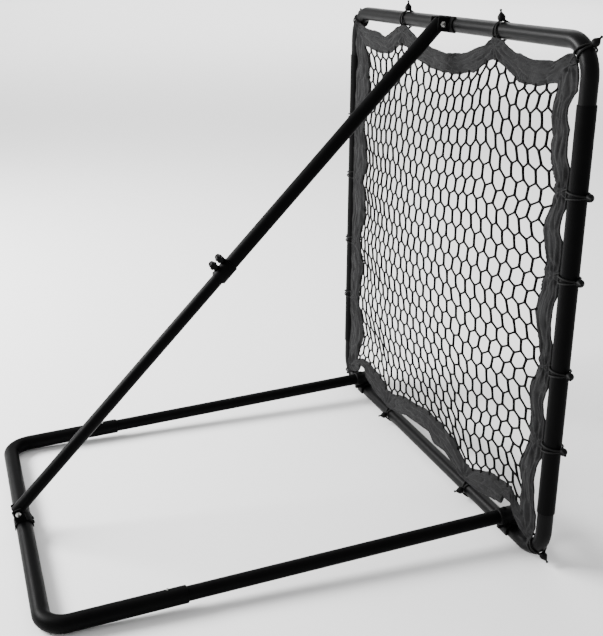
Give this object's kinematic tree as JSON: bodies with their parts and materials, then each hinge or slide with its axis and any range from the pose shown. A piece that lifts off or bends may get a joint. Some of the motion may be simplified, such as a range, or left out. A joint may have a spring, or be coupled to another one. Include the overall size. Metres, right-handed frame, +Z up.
{
  "type": "pitch back rebounder",
  "caption": "Square steel frame with a ball-return net on elastic ball ties, hinged on a U-shaped ground base and propped by a telescoping rear brace with clamp knobs.",
  "frame": {"origin": "on the floor, under the middle of the base's rear bar, on the bar's flat underside", "axes": "+Z up, -Y the side that the ball comes from, +X the right of a player who faces the net"},
  "size_m": [1.2992, 1.2363, 1.2715],
  "materials": {
    "black_paint": "satin black powder coat",
    "black_plastic": "moulded black nylon, fine grain",
    "zinc_plate": "bright zinc plate",
    "band_fabric": "dark grey woven polyester, puckered",
    "net_twine": "black knotted twine",
    "elastic_cord": "black elastic cord with a moulded ball"
  },
  "bodies": {
    "base": {"rear_base_tube": "black_paint", "left_base_arm": "black_paint", "right_base_arm": "black_paint", "left_arm_hook": "black_plastic", "right_arm_hook": "black_plastic", "left_hook_bolt": "black_paint", "right_hook_bolt": "black_paint", "left_button_spring": "zinc_plate", "right_button_spring": "zinc_plate", "lower_bracket": "black_paint", "lower_pivot_bolt": "zinc_plate", "lower_pivot_nut": "zinc_plate", "lower_bracket_left_screw": "zinc_plate", "lower_bracket_right_screw": "zinc_plate"},
    "left_button": {"left_snap_button": "zinc_plate"},
    "right_button": {"right_snap_button": "zinc_plate"},
    "net_frame": {"top_corner_tube": "black_paint", "bottom_corner_tube": "black_paint", "left_side_tube": "black_paint", "right_side_tube": "black_paint", "left_lower_frame_screw": "zinc_plate", "left_upper_frame_screw": "zinc_plate", "right_lower_frame_screw": "zinc_plate", "right_upper_frame_screw": "zinc_plate", "net": "net_twine", "band_top": "band_fabric", "band_bottom": "band_fabric", "band_left": "band_fabric", "band_right": "band_fabric", "top_left_loop": "elastic_cord", "top_right_loop": "elastic_cord", "bottom_left_loop": "elastic_cord", "bottom_right_loop": "elastic_cord", "left_loop_1": "elastic_cord", "left_loop_2": "elastic_cord", "left_loop_3": "elastic_cord", "left_loop_4": "elastic_cord", "right_loop_1": "elastic_cord", "right_loop_2": "elastic_cord", "right_loop_3": "elastic_cord", "right_loop_4": "elastic_cord", "top_left_corner_loop": "elastic_cord", "top_right_corner_loop": "elastic_cord", "bottom_left_corner_loop": "elastic_cord", "bottom_right_corner_loop": "elastic_cord", "top_bracket": "black_paint", "top_pivot_bolt": "zinc_plate", "top_pivot_nut": "zinc_plate", "top_bracket_left_screw": "zinc_plate", "top_bracket_right_screw": "zinc_plate"},
    "lower_brace": {"lower_brace_tube": "black_paint"},
    "upper_brace": {"upper_brace_tube": "black_paint", "clamp_collar": "black_paint", "lower_knob_nut": "zinc_plate", "upper_knob_nut": "zinc_plate"},
    "lower_knob": {"lower_star_knob": "black_plastic"},
    "upper_knob": {"upper_star_knob": "black_plastic"}
  },
  "joints": [
    {"name": "frame_tilt", "type": "hinge", "parent": "base", "child": "net_frame", "pos_m": [0, -1.1645, 0.0239], "axis": [-1, 0, 0], "range_deg": [-10, 25]},
    {"name": "lower_brace_swing", "type": "hinge", "parent": "base", "child": "lower_brace", "pos_m": [0, 0.01202, 0.06246], "axis": [-1, 0, 0], "range_deg": [-6, 14]},
    {"name": "upper_brace_swing", "type": "hinge", "parent": "net_frame", "child": "upper_brace", "pos_m": [0, -1.14847, 1.22562], "axis": [-1, 0, 0], "range_deg": [-13, 6]},
    {"name": "lower_knob_turn", "type": "hinge", "parent": "upper_brace", "child": "lower_knob", "pos_m": [0, -0.53353, 0.66236], "axis": [1, 0, 0], "continuous": true},
    {"name": "upper_knob_turn", "type": "hinge", "parent": "upper_brace", "child": "upper_knob", "pos_m": [0, -0.55048, 0.67935], "axis": [1, 0, 0], "continuous": true},
    {"name": "left_button_press", "type": "slide", "parent": "base", "child": "left_button", "axis": [-0.2079, -0.0377, -0.9774], "range_m": [0, 0.006], "stiffness_N_per_m": 500, "springref_m": -0.004, "deforming": ["left_button_spring"]},
    {"name": "right_button_press", "type": "slide", "parent": "base", "child": "right_button", "axis": [0.2079, -0.0377, -0.9774], "range_m": [0, 0.006], "stiffness_N_per_m": 500, "springref_m": -0.004, "deforming": ["right_button_spring"]}
  ],
  "couplings": [
    {"joint": "lower_brace_swing", "follows": "frame_tilt", "ratio": 0.513},
    {"joint": "upper_brace_swing", "follows": "frame_tilt", "ratio": -0.487}
  ]
}
